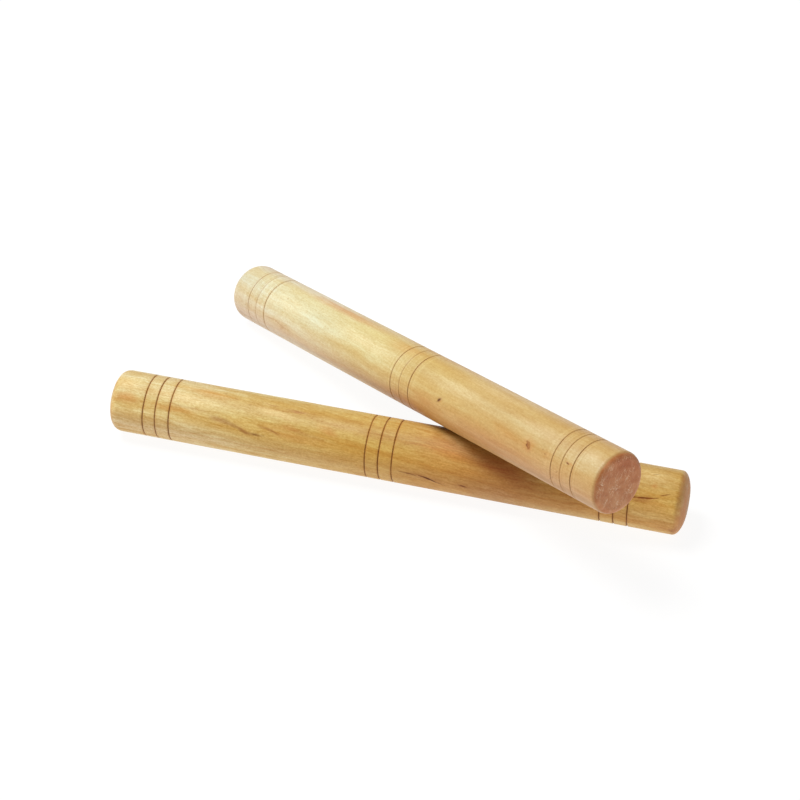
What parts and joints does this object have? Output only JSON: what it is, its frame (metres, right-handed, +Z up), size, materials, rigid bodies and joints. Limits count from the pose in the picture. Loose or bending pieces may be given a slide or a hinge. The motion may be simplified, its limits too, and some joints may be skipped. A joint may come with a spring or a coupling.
{
  "type": "claves",
  "caption": "Pair of turned wooden percussion sticks with burnt ring grooves, one lying flat and the other leaning across it.",
  "frame": {"origin": "on the supporting surface, under the centre of the pair's box", "axes": "+X along the lying stick, towards its crowned end; +Y towards the leaning stick's far end, which is down on the surface; +Z up"},
  "size_m": [0.232, 0.1442, 0.0625],
  "materials": {
    "lower_wood": "thin satin oil over honey-coloured hardwood with long figured grain, wire-burnt dark ring grooves and lighter sanded ends",
    "upper_wood": "thin satin oil over pale cream hardwood with pin knots, shallow brown ring grooves and pinkish brown end grain"
  },
  "bodies": {
    "lower_clave": {"lower_clave": "lower_wood"},
    "upper_clave": {"upper_clave": "upper_wood"}
  },
  "joints": [
    {"name": "lift_off", "type": "slide", "parent": "lower_clave", "child": "upper_clave", "axis": [0, 0, 1], "range_m": [0, 0.15]}
  ]
}
